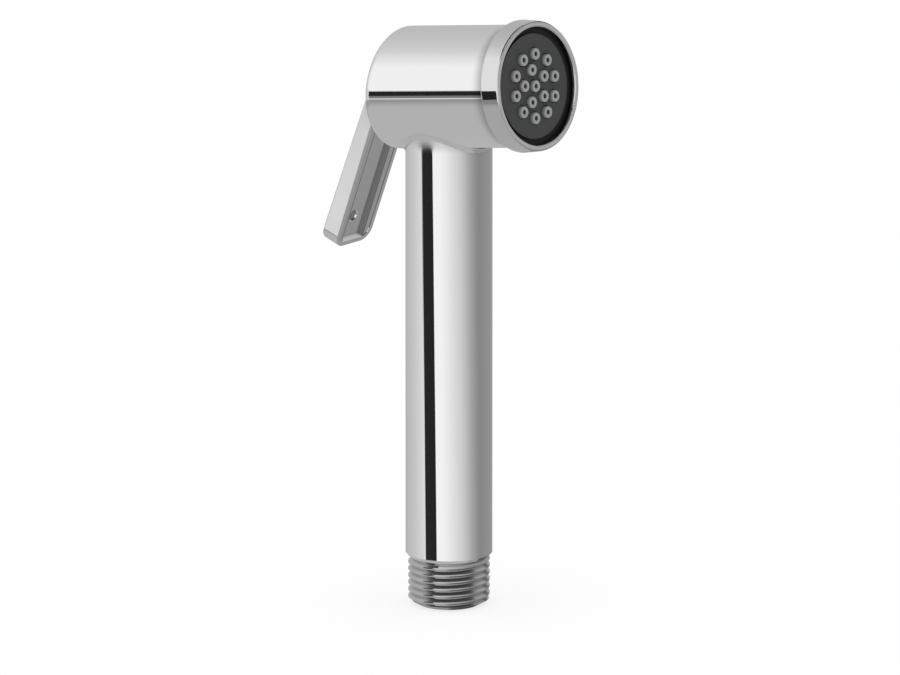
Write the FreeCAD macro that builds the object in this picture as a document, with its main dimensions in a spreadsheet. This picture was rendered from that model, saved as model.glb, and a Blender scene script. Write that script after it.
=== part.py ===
import FreeCAD, Part
import math
import os
import re
import Sketcher

from FreeCAD import Placement, Rotation, Vector

# Hand-held bidet spray with a thumb lever, in millimetres.
#
# Frame: +Z runs up the handle, +X is the side that sprays, and XZ is the plane of symmetry. The
# origin is the centre of the inlet's end face. The head is a barrel whose axis, the spray axis,
# crosses the handle's axis at head_height and rises towards the front by head_tilt degrees.
# Distances "along" are measured on the spray axis from that crossing, positive to the front.

DRIVING_SIZES = {
    # Handle and head
    "handle_radius": 11.15,
    "handle_wall": 2.0,
    "handle_edge": 0.9,
    "head_height": 136.0,
    "head_tilt": 8.5,
    "barrel_radius": 15.7,
    "barrel_wall": 2.2,
    "rear_face": 15.9,
    "rear_edge": 2.2,
    "neck_blend": 1.6,
    "port_radius": 4.0,
    "port_offset": 4.5,
    "port_length": 9.5,
    "window_shoulder": 6.5,
    "window_bottom": 13.8,
    # Inlet, a G1/2 male thread: 14 threads to the inch
    "thread_radius": 10.4775,
    "thread_pitch": 1.814,
    "thread_depth": 1.162,
    "thread_root": 0.26,
    "thread_flank": 27.5,
    "thread_length": 12.0,
    "relief_length": 0.8,
    "relief_depth": 1.0,
    "nose_radius": 7.8,
    "nose_length": 1.5,
    "inlet_bore": 6.6,
    "shank_spigot": 11.0,
    "strainer_depth": 4.5,
    "strainer_thickness": 1.5,
    "strainer_ledge": 0.25,
    "strainer_hole": 0.65,
    "strainer_spacing": 1.85,
    # Front ring and spray face
    "ring_step": 1.3,
    "ring_taper": 0.37,
    "ring_front": 29.3,
    "ring_width": 5.4,
    "mouth_overlap": 0.15,
    "throat_overlap": 0.4,
    "ring_edge": 0.45,
    "ring_rear_edge": 0.5,
    "ring_lip": 0.3,
    "face_inset": 1.85,
    "face_recess": 1.45,
    "face_thickness": 1.8,
    "flange_inset": 0.4,
    "flange_thickness": 0.8,
    "flange_setback": 0.6,
    "gasket_thickness": 0.5,
    "skirt_wall": 1.15,
    "skirt_depth": 5.0,
    "mat_thickness": 1.0,
    "distributor_thickness": 1.4,
    "distributor_hole": 0.9,
    "nozzle_base": 1.7,
    "nozzle_taper": 4.5,
    "nozzle_height": 1.0,
    "nozzle_bore": 0.58,
    "nozzle_lip": 0.35,
    "outer_circle": 8.2,
    "inner_circle": 4.35,
    "pattern_turn": 26.1,
    # Valve
    "o_ring_section": 1.2,
    "o_ring_land": 0.9,
    "seat_bore": 5.0,
    "seat_rim": 0.75,
    "seat_height": 0.5,
    "seat_foot": 1.05,
    "jacket_length": 9.4,
    "jacket_wall": 2.5,
    "window_radius": 1.9,
    "cage_wall": 1.9,
    "piston_length": 3.6,
    "tail_radius": 2.4,
    "waist_radius": 2.2,
    "collar_radius": 3.2,
    "collar_length": 2.4,
    "spigot_radius": 2.0,
    "spigot_length": 6.4,
    "washer_radius": 6.3,
    "washer_thickness": 1.8,
    "cup_thickness": 1.4,
    "nut_flats": 7.0,
    "nut_thickness": 2.8,
    "spring_wire": 0.9,
    "spring_radius": 5.4,
    "spring_turns": 4.0,
    "spring_room": 7.4,
    "spring_disc": 1.2,
    "spring_boss": 1.2,
    "disc_hole": 2.2,
    "disc_hole_circle": 8.9,
    # Lever, its pin and its carrier
    "pivot_inset": 4.9,
    "pivot_drop": 8.2,
    "pin_radius": 1.25,
    "boss_radius": 2.7,
    "cam_width": 10.4,
    "web_thickness": 1.2,
    "lever_lean": 20.0,
    "lever_reach": 57.3,
    "lever_setback": 1.45,
    "lever_tip_thickness": 5.2,
    "lever_top_thickness": 3.6,
    "lever_top_width": 16.0,
    "lever_tip_width": 14.4,
    "lever_corner": 3.6,
    "lever_edge": 0.7,
    "lever_arch_flat": 0.1,
    "cap_wall": 1.2,
    "cap_top_drop": 1.3,
    "rim_recess": 0.25,
    "channel_width": 8.0,
    "channel_depth": 1.7,
    "channel_stop": 17.0,
    "channel_edge": 0.25,
    "nose_tip_radius": 2.0,
    "button_setback": 11.35,
    "screw_height": 7.2,
    "screw_head": 1.6,
    "screw_head_height": 0.6,
    "screw_recess": 0.5,
    "screw_shank": 0.8,
    "screw_boss": 1.7,
    "screw_length": 1.5,
    "screw_slot": 0.35,
    "screw_slot_depth": 0.4,
    "screw_slot_reach": 1.1,
    "screw_boss_height": 0.5,
    # Clearances, and the length by which a cut runs past a face
    "thread_gap": 0.08,
    "slip_gap": 0.05,
    "free_gap": 0.35,
    "cam_gap": 0.15,
    "over_cut": 1.0,
}

doc = FreeCAD.newDocument("bidet_spray")
sheet = doc.addObject("Spreadsheet::Sheet", "Sizes")
for row, (alias, number) in enumerate(DRIVING_SIZES.items(), start=1):
    sheet.set(f"A{row}", alias.replace("_", " "))
    sheet.set(f"B{row}", str(number))
    sheet.setAlias(f"B{row}", alias)
doc.recompute()

nodes = {}

# Sizes worked out from the driving ones

bore_radius = "(barrel_radius - barrel_wall)"
handle_bore = "(handle_radius - handle_wall)"
ring_radius = "(barrel_radius + ring_step)"
flange_radius = "(barrel_radius - flange_inset)"
handle_bottom = "(thread_length + relief_length)"
face_front = "(ring_front - face_recess)"
flange_front = f"({face_front} - flange_setback)"
spigot_front = f"({flange_front} - flange_thickness - gasket_thickness)"
barrel_front = "(ring_front - ring_width)"
skirt_radius = f"({bore_radius} - 3 * slip_gap)"
skirt_bore = f"({skirt_radius} - skirt_wall)"
skirt_rear = f"({face_front} - skirt_depth)"
disc_rear = f"({skirt_rear} - spring_disc)"
pivot_back = "(rear_face - pivot_inset)"
pivot_rise = "(barrel_radius - pivot_drop)"
pivot_along = f"({pivot_rise} * sin(head_tilt) - {pivot_back} * cos(head_tilt))"
pivot_above = f"({pivot_back} * sin(head_tilt) + {pivot_rise} * cos(head_tilt))"
carrier_rear = f"({pivot_along} - boss_radius - free_gap)"
bore_end = f"({carrier_rear} - slip_gap)"
carrier_web = f"({pivot_along} + boss_radius + free_gap)"
sleeve_rear = f"({carrier_web} + web_thickness)"
washer_front = f"({disc_rear} - spring_room - cup_thickness)"
seat_front = f"({washer_front} - washer_thickness)"
groove_depth = "o_ring_section"
groove_length = "(o_ring_section * 1.5)"
slot_half_width = "(cam_width / 2 + free_gap)"
lever_side_slope = "((lever_top_width - lever_tip_width) / 2 / lever_reach)"


def bound(text):
    """Point each size named in an expression at its cell of the sheet."""
    return re.sub(r"[a-z][a-z_]+", lambda word: "Sizes." + word.group()
                  if word.group() in DRIVING_SIZES else word.group(), text)


def value(text):
    """Number that an expression comes to."""
    return float(sheet.evalExpression(bound(text)))


def bind(item, prop, text):
    item.setExpression(prop, bound(text))


def put_on_spray_axis(item, along):
    """Turn an item's own Z axis to the spray axis, with its base at a distance along it."""
    item.Placement = Placement(Vector(), Rotation(Vector(0, 1, 0), 90 - value("head_tilt")))
    bind(item, "Placement.Base.x", f"({along}) * cos(head_tilt)")
    bind(item, "Placement.Base.z", f"head_height + ({along}) * sin(head_tilt)")
    bind(item, "Placement.Rotation.Angle", "90 - head_tilt")


def put_on_lever(item, inward="0", upward="0", turn="0"):
    """Place an item in the lever's frame: origin on the pin, own Z up the lever, X to the handle."""
    item.Placement = Placement(Vector(), Rotation(Vector(0, 1, 0), value(f"lever_lean + {turn}")))
    bind(item, "Placement.Base.x",
         f"({inward}) * cos(lever_lean) + ({upward}) * sin(lever_lean) - {pivot_back}")
    bind(item, "Placement.Base.z",
         f"head_height + {pivot_rise} - ({inward}) * sin(lever_lean) + ({upward}) * cos(lever_lean)")
    bind(item, "Placement.Rotation.Angle", f"lever_lean + {turn}")


def put_on_handle_axis(item, height):
    """Stand an item on the handle's axis at a height."""
    bind(item, "Placement.Base.z", height)


def origin_plane(body, role):
    return next(plane for plane in body.Origin.OriginFeatures if plane.Role == role)


def new_sketch(body, name, role, offset="0"):
    """Sketch on one of the body's own origin planes, moved along its normal by an offset."""
    sketch = body.newObject("Sketcher::SketchObject", name)
    sketch.AttachmentSupport = [(origin_plane(body, role), "")]
    sketch.MapMode = "FlatFace"
    if offset != "0":
        bind(sketch, "AttachmentOffset.Base.z", offset)
    return sketch


def tie_point(sketch, index, position, across, up):
    """Hold one point of a sketch at two distances from its origin."""
    for kind, text in (("DistanceX", across), ("DistanceY", up)):
        rule = Sketcher.Constraint(kind, -1, 1, index, position, value(text))
        number = sketch.addConstraint(rule)
        bind(sketch, f"Constraints[{number}]", text)


def draw_outline(sketch, outline):
    """Closed outline through points, each a pair of expressions."""
    corners = [Vector(value(across), value(up), 0) for across, up in outline]
    count = len(corners)
    for index, corner in enumerate(corners):
        sketch.addGeometry(Part.LineSegment(corner, corners[(index + 1) % count]), False)
    for index in range(count):
        sketch.addConstraint(Sketcher.Constraint("Coincident", index, 2, (index + 1) % count, 1))
    for index, (across, up) in enumerate(outline):
        tie_point(sketch, index, 1, across, up)


def draw_circles(sketch, circles):
    """Circles, each given by its centre and radius as expressions."""
    for across, up, radius in circles:
        centre = Vector(value(across), value(up), 0)
        index = sketch.addGeometry(Part.Circle(centre, Vector(0, 0, 1), value(radius)), False)
        tie_point(sketch, index, 3, across, up)
        number = sketch.addConstraint(Sketcher.Constraint("Radius", index, value(radius)))
        bind(sketch, f"Constraints[{number}]", radius)


def turned(name, outline):
    """Body turned about its own Z axis from (radius, height) points."""
    body = doc.addObject("PartDesign::Body", name)
    sketch = new_sketch(body, name + "_outline", "XZ_Plane")
    draw_outline(sketch, outline)
    turning = body.newObject("PartDesign::Revolution", name + "_turning")
    turning.Profile = sketch
    turning.ReferenceAxis = (sketch, ["V_Axis"])
    turning.Angle = 360
    sketch.Visibility = False
    doc.recompute()
    return body


def padded(name, role, outline, length):
    """Body made from an outline on an origin plane, grown to both sides alike."""
    body = doc.addObject("PartDesign::Body", name)
    add_pad(body, name + "_pad", role, length, outline=outline)
    return body


def add_pad(body, name, role, length, outline=None, circles=None, side="Symmetric", offset="0",
            taper=None):
    sketch = new_sketch(body, name + "_outline", role, offset)
    if outline:
        draw_outline(sketch, outline)
    if circles:
        draw_circles(sketch, circles)
    pad = body.newObject("PartDesign::Pad", name)
    pad.Profile = sketch
    pad.SideType = side
    bind(pad, "Length", length)
    if taper:
        bind(pad, "TaperAngle", taper)
    sketch.Visibility = False
    doc.recompute()
    return pad


def cut_pocket(body, name, role, length, outline=None, circles=None, side="Symmetric", offset="0",
               backwards=False):
    """Pocket that must take material away, or the build stops."""
    before = body.Shape.Volume
    sketch = new_sketch(body, name + "_outline", role, offset)
    if outline:
        draw_outline(sketch, outline)
    if circles:
        draw_circles(sketch, circles)
    pocket = body.newObject("PartDesign::Pocket", name)
    pocket.Profile = sketch
    pocket.SideType = side
    pocket.Reversed = backwards
    bind(pocket, "Length", length)
    sketch.Visibility = False
    doc.recompute()
    if body.Shape.Volume >= before - 1e-6:
        raise ValueError(f"{name} cuts nothing")
    return pocket


def round_edges(body, name, radius, wanted, kind="PartDesign::Fillet"):
    """Round or break the edges of a body for which wanted(edge) holds."""
    tip = body.Tip
    picked = [f"Edge{number}" for number, edge in enumerate(tip.Shape.Edges, start=1) if wanted(edge)]
    if not picked:
        raise ValueError(f"{name} finds no edge")
    rounding = body.newObject(kind, name)
    rounding.Base = (tip, picked)
    bind(rounding, "Radius" if kind.endswith("Fillet") else "Size", radius)
    doc.recompute()
    return rounding


def ring_edge(radius, height):
    """Test for a full circle about the item's own Z axis."""
    def wanted(edge):
        curve = edge.Curve
        return (isinstance(curve, Part.Circle) and abs(curve.Radius - radius) < 1e-4
                and abs(curve.Center.z - height) < 1e-4 and math.hypot(curve.Center.x, curve.Center.y) < 1e-4)
    return wanted


def primitive(kind, name, **sizes):
    item = doc.addObject(kind, name)
    for prop, text in sizes.items():
        bind(item, prop, text)
    return item


def combine(kind, name, **parts):
    item = doc.addObject(kind, name)
    for prop, part in parts.items():
        setattr(item, prop, part)
    doc.recompute()
    return item


def keep(item, label):
    """Name a finished piece."""
    item.Label = label
    nodes[label] = item
    return item


def o_ring(label, inner_radius, outer_radius):
    """O-ring that fills the space between a groove's floor and the bore around it."""
    ring = primitive("Part::Torus", label,
                     Radius1=f"(({inner_radius}) + ({outer_radius})) / 2",
                     Radius2=f"(({outer_radius}) - ({inner_radius})) / 2 - slip_gap / 2")
    return keep(ring, label)


# Body: one casting, a barrel across the top of a tube

def make_body():
    reach = f"({bore_end} - 2 * barrel_radius)"
    barrel = primitive("Part::Cylinder", "barrel_blank", Radius="barrel_radius",
                       Height=f"{barrel_front} - {reach}")
    put_on_spray_axis(barrel, reach)
    behind = primitive("Part::Box", "rear_trim", Length="4 * barrel_radius", Width="4 * barrel_radius",
                       Height="6 * barrel_radius")
    bind(behind, "Placement.Base.x", "-rear_face - 4 * barrel_radius")
    bind(behind, "Placement.Base.y", "-2 * barrel_radius")
    bind(behind, "Placement.Base.z", "head_height - 3 * barrel_radius")
    barrel = combine("Part::Cut", "barrel_trimmed", Base=barrel, Tool=behind)
    rear = -value("rear_face")
    rear_edges = [(number, value("rear_edge"), value("rear_edge"))
                  for number, edge in enumerate(barrel.Shape.Edges, start=1)
                  if all(abs(vertex.Point.x - rear) < 1e-4 for vertex in edge.Vertexes)
                  and abs(edge.CenterOfMass.x - rear) < 1e-4]
    rounded = doc.addObject("Part::Fillet", "barrel_rounded")
    rounded.Base = barrel
    rounded.Edges = rear_edges
    spigot = primitive("Part::Cylinder", "spigot_blank", Radius=flange_radius,
                       Height=f"{spigot_front} - {barrel_front} + barrel_wall")
    put_on_spray_axis(spigot, f"{barrel_front} - barrel_wall")
    handle = turned("handle_blank", [
        ("0", "0"),
        ("handle_radius - handle_edge", "0"),
        ("handle_radius", "handle_edge"),
        ("handle_radius", f"head_height - {handle_bottom}"),
        ("0", f"head_height - {handle_bottom}"),
    ])
    put_on_handle_axis(handle, handle_bottom)
    solid = combine("Part::MultiFuse", "casting_solid", Shapes=[rounded, spigot, handle])
    neck_height = value("head_height - barrel_radius / 2")
    blend_edges = [(number, value("neck_blend"), value("neck_blend"))
                   for number, edge in enumerate(solid.Shape.Edges, start=1)
                   if is_neck_edge(edge, value("handle_radius"), neck_height)]
    blended = doc.addObject("Part::Fillet", "casting_blended")
    blended.Base = solid
    blended.Edges = blend_edges
    doc.recompute()

    bore = primitive("Part::Cylinder", "barrel_bore", Radius=bore_radius,
                     Height=f"{spigot_front} - {bore_end} + barrel_wall")
    put_on_spray_axis(bore, bore_end)
    tube = primitive("Part::Cylinder", "handle_bore", Radius=handle_bore,
                     Height=f"head_height - barrel_radius / cos(head_tilt) - port_length"
                            f" + barrel_wall - {handle_bottom} + handle_wall")
    put_on_handle_axis(tube, f"{handle_bottom} - handle_wall")
    port = primitive("Part::Cylinder", "water_port", Radius="port_radius",
                     Height="port_length + barrel_radius")
    bind(port, "Placement.Base.x", "port_offset")
    bind(port, "Placement.Base.z", "head_height - barrel_radius - port_length")
    window = make_window()
    tools = combine("Part::MultiFuse", "casting_hollows", Shapes=[bore, tube, port, window])
    keep(combine("Part::Cut", "casting", Base=blended, Tool=tools), "body")


def is_neck_edge(edge, radius, top):
    """True for the line where the handle runs into the underside of the barrel."""
    points = [edge.valueAt(edge.FirstParameter + share * (edge.LastParameter - edge.FirstParameter))
              for share in (0.1, 0.35, 0.6, 0.85)]
    on_tube = all(abs(math.hypot(point.x, point.y) - radius) < 0.01 for point in points)
    heights = [point.z for point in points]
    return on_tube and max(heights) < top and max(heights) - min(heights) > 0.05


# Window in the barrel's rear wall, arched at the top like the lever

def make_window():
    half_width = "(lever_top_width / 2 + free_gap)"
    arch_height = f"head_height + {pivot_rise} - window_shoulder"
    low = "head_height - window_bottom"
    depth = f"rear_face + {bore_end} * cos(head_tilt) + barrel_wall + over_cut"
    flat = primitive("Part::Box", "window_flat", Length=depth, Width=f"2 * {half_width}",
                     Height=f"{arch_height} - ({low})")
    bind(flat, "Placement.Base.x", "-rear_face - over_cut")
    bind(flat, "Placement.Base.y", f"-{half_width}")
    bind(flat, "Placement.Base.z", low)
    arch = primitive("Part::Cylinder", "window_arch", Radius=half_width, Height=depth)
    arch.Placement = Placement(Vector(), Rotation(Vector(0, 1, 0), 90))
    bind(arch, "Placement.Base.x", "-rear_face - over_cut")
    bind(arch, "Placement.Base.z", arch_height)
    return combine("Part::MultiFuse", "window", Shapes=[flat, arch])


# Inlet: threaded shank, its O-ring and the strainer

def make_inlet():
    root_radius = "(thread_radius - thread_depth)"
    top = f"({handle_bottom} + shank_spigot)"
    groove_low = f"({top} - o_ring_land - {groove_length})"
    spigot_radius = f"({handle_bore} - thread_gap)"
    shank = turned("shank", [
        ("inlet_bore + strainer_ledge", "0"),
        ("nose_radius", "0"),
        ("thread_radius", "nose_length"),
        ("thread_radius", "thread_length"),
        ("thread_radius - relief_depth", "thread_length"),
        ("thread_radius - relief_depth", handle_bottom),
        (spigot_radius, handle_bottom),
        (spigot_radius, groove_low),
        (f"{spigot_radius} - {groove_depth}", groove_low),
        (f"{spigot_radius} - {groove_depth}", f"{groove_low} + {groove_length}"),
        (spigot_radius, f"{groove_low} + {groove_length}"),
        (spigot_radius, top),
        ("inlet_bore", top),
        ("inlet_bore", "strainer_depth + strainer_thickness"),
        ("inlet_bore + strainer_ledge", "strainer_depth + strainer_thickness"),
    ])
    # Whitworth form with a flat root
    root_half = "thread_root / 2"
    outside = "(thread_radius + 2 * slip_gap)"
    flank = f"({root_half} + ({outside} - {root_radius}) * tan(thread_flank))"
    groove = shank.newObject("Sketcher::SketchObject", "thread_groove")
    groove.AttachmentSupport = [(origin_plane(shank, "XZ_Plane"), "")]
    groove.MapMode = "FlatFace"
    draw_outline(groove, [
        (root_radius, f"-thread_pitch - {root_half}"),
        (outside, f"-thread_pitch - {flank}"),
        (outside, f"-thread_pitch + {flank}"),
        (root_radius, f"-thread_pitch + {root_half}"),
    ])
    plain_volume = shank.Shape.Volume
    thread = shank.newObject("PartDesign::SubtractiveHelix", "thread")
    thread.Profile = groove
    thread.ReferenceAxis = (groove, ["V_Axis"])
    thread.Mode = "pitch-height-angle"
    bind(thread, "Pitch", "thread_pitch")
    bind(thread, "Height", "thread_length + 1.2 * thread_pitch")
    groove.Visibility = False
    doc.recompute()
    if shank.Shape.Volume > plain_volume - 100:
        raise ValueError("the thread cuts nothing")
    keep(shank, "inlet_shank")

    ring = o_ring("shank_o_ring", f"{spigot_radius} - {groove_depth}", handle_bore)
    put_on_handle_axis(ring, f"{groove_low} + {groove_length} / 2")

    strainer = turned("strainer", [
        ("0", "0"),
        ("inlet_bore + strainer_ledge - slip_gap", "0"),
        ("inlet_bore + strainer_ledge - slip_gap", "strainer_thickness"),
        ("0", "strainer_thickness"),
    ])
    holes = [("0", "0", "strainer_hole")]
    for circle in (1, 2, 3):
        for step in range(6 * circle):
            angle = 60 * step / circle
            holes.append((f"{circle} * strainer_spacing * cos({angle})",
                          f"{circle} * strainer_spacing * sin({angle})", "strainer_hole"))
    cut_pocket(strainer, "strainer_holes", "XY_Plane", "3 * strainer_thickness", circles=holes)
    put_on_handle_axis(strainer, "strainer_depth")
    keep(strainer, "inlet_strainer")


# Spray face: ring, gasket, face plate, nozzle mat and distributor

def nozzle_places():
    """Centres of the 16 nozzles in the face's own plane, whose X points down and Y across."""
    places = [("0", "0")]
    for circle, count, start in (("outer_circle", 10, 0), ("inner_circle", 5, 18)):
        for step in range(count):
            angle = f"({start + 360 * step / count} + pattern_turn)"
            places.append((f"{circle} * cos{angle}", f"{circle} * sin{angle}"))
    return places


def make_face():
    mouth_radius = f"({flange_radius} - mouth_overlap)"
    clamp_height = "ring_width - face_recess - flange_setback"
    ring = turned("ring", [
        (f"{flange_radius} + thread_gap", "0"),
        (ring_radius, "0"),
        (f"{ring_radius} - ring_taper", "ring_width"),
        (mouth_radius, "ring_width"),
        (f"{flange_radius} - throat_overlap", clamp_height),
        (f"{flange_radius} + thread_gap", clamp_height),
    ])
    round_edges(ring, "ring_front_edge", "ring_edge",
                ring_edge(value(f"{ring_radius} - ring_taper"), value("ring_width")))
    round_edges(ring, "ring_rear_round", "ring_rear_edge", ring_edge(value(ring_radius), 0))
    round_edges(ring, "ring_lip_round", "ring_lip",
                ring_edge(value(mouth_radius), value("ring_width")))
    put_on_spray_axis(ring, barrel_front)
    keep(ring, "front_ring")

    gasket = turned("gasket", [
        (f"{skirt_radius} + 2 * slip_gap", "0"),
        (flange_radius, "0"),
        (flange_radius, "gasket_thickness"),
        (f"{skirt_radius} + 2 * slip_gap", "gasket_thickness"),
    ])
    put_on_spray_axis(gasket, spigot_front)
    keep(gasket, "face_gasket")

    flange_top = "(skirt_depth - flange_setback)"
    plate = turned("plate", [
        ("0", "skirt_depth - face_thickness"),
        (skirt_bore, "skirt_depth - face_thickness"),
        (skirt_bore, "0"),
        (skirt_radius, "0"),
        (skirt_radius, f"{flange_top} - flange_thickness"),
        (flange_radius, f"{flange_top} - flange_thickness"),
        (flange_radius, flange_top),
        (f"{flange_radius} - face_inset", flange_top),
        (f"{flange_radius} - face_inset", "skirt_depth"),
        ("0", "skirt_depth"),
    ])
    holes = [(across, up, "nozzle_base + slip_gap") for across, up in nozzle_places()]
    cut_pocket(plate, "plate_holes", "XY_Plane", "3 * skirt_depth", circles=holes)
    put_on_spray_axis(plate, skirt_rear)
    keep(plate, "face_plate")

    mat = turned("mat", [
        ("0", "0"),
        (f"{skirt_bore} - slip_gap", "0"),
        (f"{skirt_bore} - slip_gap", "mat_thickness"),
        ("0", "mat_thickness"),
    ])
    stands = [(across, up, "nozzle_base") for across, up in nozzle_places()]
    add_pad(mat, "nozzles", "XY_Plane", "face_thickness + nozzle_height", circles=stands,
            side="One side", offset="mat_thickness", taper="-nozzle_taper")
    bores = [(across, up, "nozzle_bore") for across, up in nozzle_places()]
    cut_pocket(mat, "nozzle_bores", "XY_Plane", "6 * (face_thickness + nozzle_height)", circles=bores)
    tip = value("mat_thickness + face_thickness + nozzle_height")
    tip_radius = value("nozzle_base - (face_thickness + nozzle_height) * tan(nozzle_taper)")
    round_edges(mat, "nozzle_lips", "nozzle_lip",
                lambda edge: isinstance(edge.Curve, Part.Circle)
                and abs(edge.CenterOfMass.z - tip) < 1e-3 and abs(edge.Curve.Radius - tip_radius) < 0.01)
    put_on_spray_axis(mat, f"{face_front} - face_thickness - mat_thickness")
    keep(mat, "nozzle_mat")

    spreader = turned("spreader", [
        ("0", "0"),
        (f"{skirt_bore} - slip_gap", "0"),
        (f"{skirt_bore} - slip_gap", "distributor_thickness"),
        ("0", "distributor_thickness"),
    ])
    holes = [(across, up, "distributor_hole") for across, up in nozzle_places()]
    cut_pocket(spreader, "spreader_holes", "XY_Plane", "3 * distributor_thickness", circles=holes)
    put_on_spray_axis(spreader, f"{face_front} - face_thickness - mat_thickness - distributor_thickness")
    keep(spreader, "distributor")


# Valve: sleeve and its O-rings, stem, washer, cup, nut, spring and spring seat

def make_valve():
    outer = f"({bore_radius} - slip_gap)"
    floor = f"({outer} - {groove_depth})"
    rear_flange = f"(2 * o_ring_land + {groove_length})"
    mid_flange = f"({rear_flange} + jacket_length)"
    front_groove = f"({mid_flange} + o_ring_land)"
    seat_face = f"({seat_front} - {sleeve_rear} - slip_gap)"
    seat_base = f"({seat_face} - seat_height)"
    jacket = "(seat_bore + jacket_wall)"
    front_end = f"({disc_rear} - {sleeve_rear})"
    sleeve = turned("sleeve", [
        ("seat_bore", "0"),
        (outer, "0"),
        (outer, "o_ring_land"),
        (floor, "o_ring_land"),
        (floor, f"o_ring_land + {groove_length}"),
        (outer, f"o_ring_land + {groove_length}"),
        (outer, rear_flange),
        (jacket, rear_flange),
        (jacket, mid_flange),
        (outer, mid_flange),
        (outer, front_groove),
        (floor, front_groove),
        (floor, f"{front_groove} + {groove_length}"),
        (outer, f"{front_groove} + {groove_length}"),
        (outer, front_end),
        (f"{outer} - cage_wall", front_end),
        (f"{outer} - cage_wall", seat_base),
        ("seat_bore + seat_foot", seat_base),
        ("seat_bore + seat_rim", seat_face),
        ("seat_bore", seat_face),
    ])
    window_height = f"({rear_flange} + jacket_length / 2)"
    cut_pocket(sleeve, "windows_across", "YZ_Plane", "4 * barrel_radius",
               circles=[("0", window_height, "window_radius")])
    cut_pocket(sleeve, "windows_down", "XZ_Plane", "4 * barrel_radius",
               circles=[("0", window_height, "window_radius")])
    put_on_spray_axis(sleeve, sleeve_rear)
    keep(sleeve, "valve_sleeve")
    for label, groove in (("sleeve_rear_o_ring", "o_ring_land"), ("sleeve_front_o_ring", front_groove)):
        ring = o_ring(label, floor, bore_radius)
        put_on_spray_axis(ring, f"{sleeve_rear} + {groove} + {groove_length} / 2")

    tail = f"(button_setback + {sleeve_rear} + 2 * slip_gap)"
    piston_end = f"({tail} + piston_length)"
    shoulder = f"({seat_front} + button_setback)"
    piston_groove = f"({tail} + o_ring_land)"
    piston = "(seat_bore - slip_gap)"
    stem = turned("stem", [
        ("0", "0"),
        ("tail_radius", "0"),
        ("tail_radius", tail),
        (piston, tail),
        (piston, piston_groove),
        (f"{piston} - {groove_depth}", piston_groove),
        (f"{piston} - {groove_depth}", f"{piston_groove} + {groove_length}"),
        (piston, f"{piston_groove} + {groove_length}"),
        (piston, piston_end),
        ("waist_radius", piston_end),
        ("waist_radius", f"{shoulder} - collar_length"),
        ("collar_radius", f"{shoulder} - collar_length"),
        ("collar_radius", shoulder),
        ("spigot_radius", shoulder),
        ("spigot_radius", f"{shoulder} + spigot_length"),
        ("0", f"{shoulder} + spigot_length"),
    ])
    put_on_spray_axis(stem, "-button_setback")
    keep(stem, "valve_stem")
    ring = o_ring("stem_o_ring", f"{piston} - {groove_depth}", "seat_bore")
    put_on_spray_axis(ring, f"{piston_groove} + {groove_length} / 2 - button_setback")

    washer = turned("washer", [
        ("spigot_radius + slip_gap", "0"),
        ("washer_radius", "0"),
        ("washer_radius", "washer_thickness"),
        ("spigot_radius + slip_gap", "washer_thickness"),
    ])
    put_on_spray_axis(washer, seat_front)
    keep(washer, "valve_washer")

    cup = turned("cup", [
        ("spigot_radius + slip_gap", "0"),
        ("washer_radius + 2 * slip_gap", "0"),
        ("washer_radius + 2 * slip_gap", "cup_thickness / 2"),
        ("washer_radius - cup_thickness / 2", "cup_thickness"),
        ("spigot_radius + slip_gap", "cup_thickness"),
    ])
    put_on_spray_axis(cup, washer_front)
    keep(cup, "washer_cup")

    corner = "(nut_flats / 2 / cos(30))"
    nut = doc.addObject("PartDesign::Body", "nut")
    hexagon = [(f"{corner} * cos({60 * step})", f"{corner} * sin({60 * step})") for step in range(6)]
    add_pad(nut, "nut_blank", "XY_Plane", "nut_thickness", outline=hexagon, side="One side")
    cut_pocket(nut, "nut_thread", "XY_Plane", "3 * nut_thickness",
               circles=[("0", "0", "spigot_radius + slip_gap")])
    put_on_spray_axis(nut, f"{washer_front} + cup_thickness")
    keep(nut, "stem_nut")

    disc = turned("disc", [
        ("0", "-spring_boss"),
        ("spring_radius - spring_wire / 2 - 3 * slip_gap", "-spring_boss"),
        ("spring_radius - spring_wire / 2 - 3 * slip_gap", "0"),
        (f"{bore_radius} - slip_gap", "0"),
        (f"{bore_radius} - slip_gap", "spring_disc"),
        ("0", "spring_disc"),
    ])
    holes = [(f"disc_hole_circle * cos({angle})", f"disc_hole_circle * sin({angle})", "disc_hole")
             for angle in range(0, 360, 45)]
    cut_pocket(disc, "disc_holes", "XY_Plane", "4 * spring_disc", circles=holes)
    put_on_spray_axis(disc, disc_rear)
    keep(disc, "spring_seat")

    spring = doc.addObject("PartDesign::Body", "spring")
    wire = new_sketch(spring, "spring_wire_outline", "XZ_Plane")
    draw_circles(wire, [("spring_radius", "spring_wire / 2 + slip_gap", "spring_wire / 2")])
    coil = spring.newObject("PartDesign::AdditiveHelix", "coil")
    coil.Profile = wire
    coil.ReferenceAxis = (wire, ["V_Axis"])
    coil.Mode = "height-turns-angle"
    bind(coil, "Height", "spring_room - spring_wire - 2 * slip_gap")
    bind(coil, "Turns", "spring_turns")
    wire.Visibility = False
    put_on_spray_axis(spring, f"{washer_front} + cup_thickness")
    doc.recompute()
    keep(spring, "valve_spring")
    least_gap = value("(spring_room - spring_wire - 2 * slip_gap) / spring_turns - spring_wire")
    print(f"valve_spring least gap between turns {least_gap:.2f} mm")


# Lever: carrier, pin, core, cap and screw

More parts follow.
